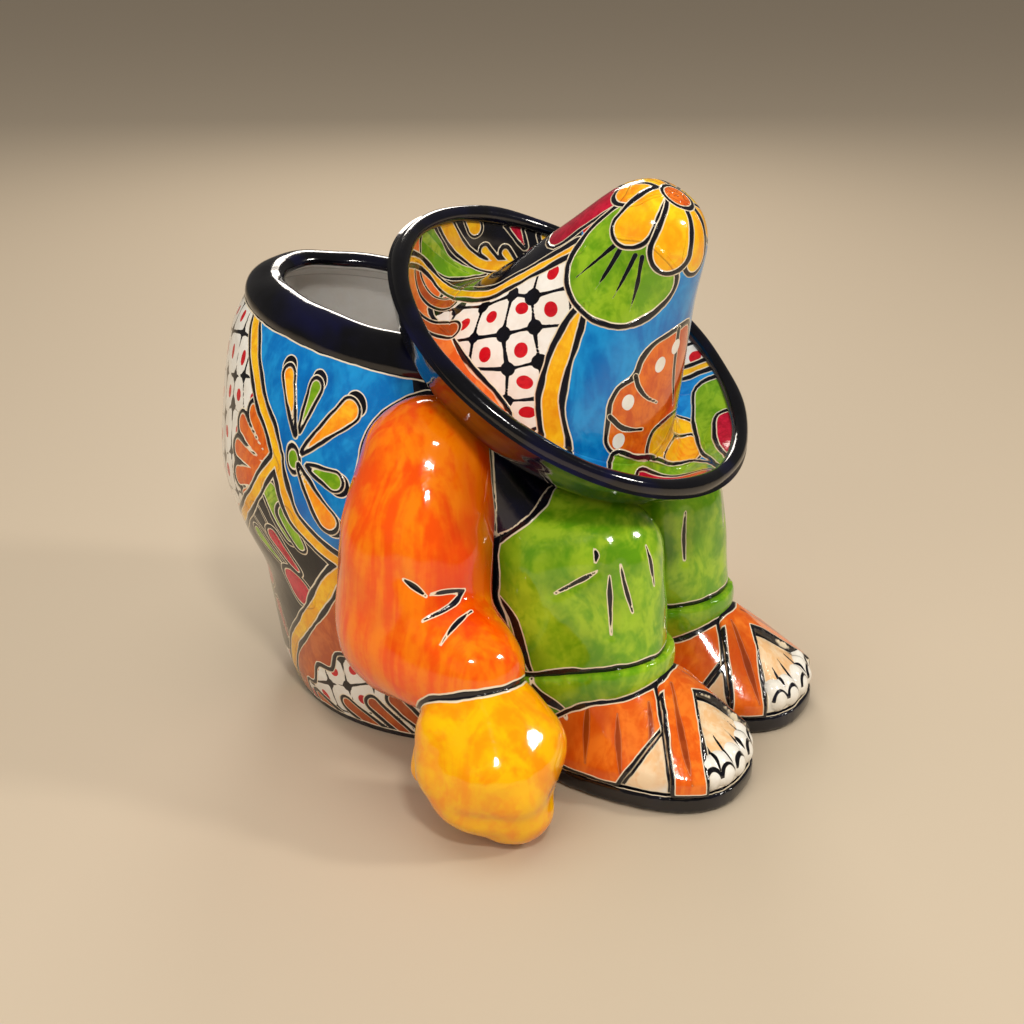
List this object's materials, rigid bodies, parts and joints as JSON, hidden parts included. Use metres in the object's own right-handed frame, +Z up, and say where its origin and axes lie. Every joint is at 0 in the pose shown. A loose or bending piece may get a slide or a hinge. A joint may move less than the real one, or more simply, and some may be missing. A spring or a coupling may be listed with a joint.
{
  "type": "figural pottery vase",
  "caption": "Glazed pottery vase shaped as a seated figure asleep under a wide hat; the figure's hollow back is an open vase.",
  "frame": {"origin": "on the ground, at the middle of the vase's overall length and width", "axes": "+Z up, -Y the way the figure faces, +X towards the figure's left"},
  "size_m": [0.2786, 0.2939, 0.2585],
  "materials": {
    "pot_wall": "hand-painted under a clear gloss glaze",
    "pot_inside": "hand-painted under a clear gloss glaze",
    "mouth_rim": "hand-painted under a clear gloss glaze",
    "yoke": "hand-painted under a clear gloss glaze",
    "head": "hand-painted under a clear gloss glaze",
    "hat_brim": "hand-painted under a clear gloss glaze",
    "hat_brim_roll": "hand-painted under a clear gloss glaze",
    "hat_crown": "hand-painted under a clear gloss glaze",
    "sleeve": "hand-painted under a clear gloss glaze",
    "hand": "hand-painted under a clear gloss glaze",
    "thumb": "hand-painted under a clear gloss glaze",
    "trouser_leg": "hand-painted under a clear gloss glaze",
    "trouser_cuff": "hand-painted under a clear gloss glaze",
    "foot": "hand-painted under a clear gloss glaze",
    "sole": "hand-painted under a clear gloss glaze",
    "toes": "hand-painted under a clear gloss glaze",
    "ankle_strap": "hand-painted under a clear gloss glaze",
    "instep_strap": "hand-painted under a clear gloss glaze"
  },
  "bodies": {
    "root": {"pot_wall": "pot_wall", "base_slab": "pot_inside", "mouth_rim": "mouth_rim", "shoulder_yoke": "yoke", "bowed_head": "head", "hat_brim": "hat_brim", "hat_brim_roll": "hat_brim_roll", "hat_crown": "hat_crown", "right_sleeve": "sleeve", "left_sleeve": "sleeve", "right_hand": "hand", "left_hand": "hand", "right_thumb": "thumb", "left_thumb": "thumb", "right_trouser_leg": "trouser_leg", "left_trouser_leg": "trouser_leg", "right_trouser_cuff": "trouser_cuff", "left_trouser_cuff": "trouser_cuff", "right_foot": "foot", "left_foot": "foot", "right_sole": "sole", "left_sole": "sole", "right_toes": "toes", "left_toes": "toes", "right_ankle_strap": "ankle_strap", "left_ankle_strap": "ankle_strap", "right_instep_strap": "instep_strap", "left_instep_strap": "instep_strap"}
  },
  "joints": []
}
